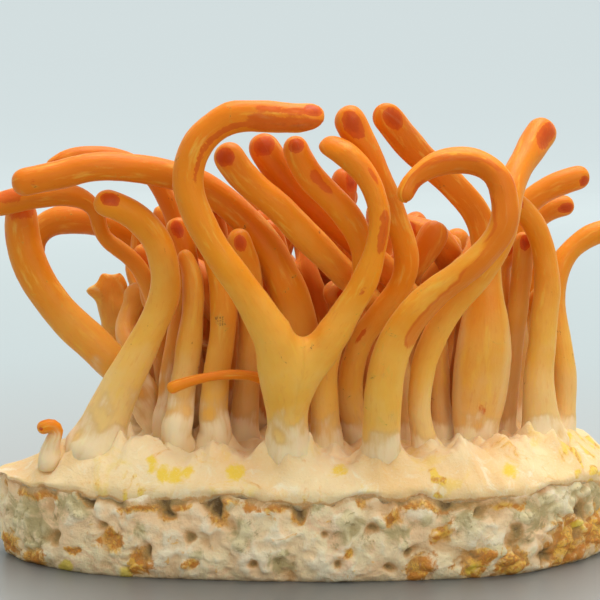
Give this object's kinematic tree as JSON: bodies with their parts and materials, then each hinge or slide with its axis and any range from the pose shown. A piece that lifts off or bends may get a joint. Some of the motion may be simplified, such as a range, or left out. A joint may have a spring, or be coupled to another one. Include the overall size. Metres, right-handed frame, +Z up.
{
  "type": "cordyceps bunch",
  "caption": "Crowd of curling, forked and leaning finger-like fungus stems growing from a pale mycelium mat on a block of grain substrate",
  "frame": {"origin": "centre of the footprint on the underside of the substrate block, where it rests", "axes": "+X is the long side of the block, to the right in the picture; +Y points to the back of the block; +Z is up, the way the stems grow"},
  "size_m": [0.1075, 0.0784, 0.0761],
  "materials": {
    "stem_flesh": "satin-smooth fresh flesh, orange, paler and creamy towards the foot, red-brown at the tip",
    "mycelium": "matt, downy, peach-cream with yellow and orange spots",
    "substrate": "rough, matt, mottled colonised grain"
  },
  "bodies": {
    "root": {"bow_stem": "stem_flesh", "cross_stem_a": "stem_flesh", "cross_stem_b": "stem_flesh", "cross_stem_c": "stem_flesh", "curled_sprout": "stem_flesh", "curled_stem": "stem_flesh", "fan_stem": "stem_flesh", "forked_stem": "stem_flesh", "inner_stem_a": "stem_flesh", "inner_stem_b": "stem_flesh", "inner_stem_c": "stem_flesh", "left_leaning_stem": "stem_flesh", "long_stem": "stem_flesh", "mycelium_mat": "mycelium", "nub_stem": "stem_flesh", "paddle_stem": "stem_flesh", "reaching_stem": "stem_flesh", "rear_arch_stem": "stem_flesh", "rear_tuft_01": "stem_flesh", "rear_tuft_02": "stem_flesh", "rear_tuft_03": "stem_flesh", "rear_tuft_04": "stem_flesh", "rear_tuft_05": "stem_flesh", "rear_tuft_06": "stem_flesh", "rear_tuft_07": "stem_flesh", "rear_tuft_08": "stem_flesh", "rear_tuft_09": "stem_flesh", "rear_tuft_10": "stem_flesh", "rear_tuft_11": "stem_flesh", "rear_tuft_12": "stem_flesh", "rear_tuft_13": "stem_flesh", "rear_tuft_14": "stem_flesh", "rear_tuft_15": "stem_flesh", "rear_tuft_16": "stem_flesh", "rear_tuft_17": "stem_flesh", "rear_tuft_18": "stem_flesh", "rear_tuft_19": "stem_flesh", "rear_tuft_20": "stem_flesh", "rear_tuft_21": "stem_flesh", "rear_tuft_22": "stem_flesh", "rear_tuft_23": "stem_flesh", "rear_tuft_24": "stem_flesh", "rear_tuft_25": "stem_flesh", "rear_tuft_26": "stem_flesh", "rear_tuft_27": "stem_flesh", "rear_tuft_28": "stem_flesh", "rear_tuft_29": "stem_flesh", "right_arch_stem": "stem_flesh", "right_inner_stem": "stem_flesh", "right_lower_stem": "stem_flesh", "right_sweep_stem": "stem_flesh", "right_upper_stem": "stem_flesh", "s_bend_stem": "stem_flesh", "short_stem": "stem_flesh", "slender_arch_stem": "stem_flesh", "substrate_cake": "substrate", "thin_stem": "stem_flesh", "upright_stem_a": "stem_flesh", "upright_stem_b": "stem_flesh", "wave_stem": "stem_flesh"}
  },
  "joints": []
}
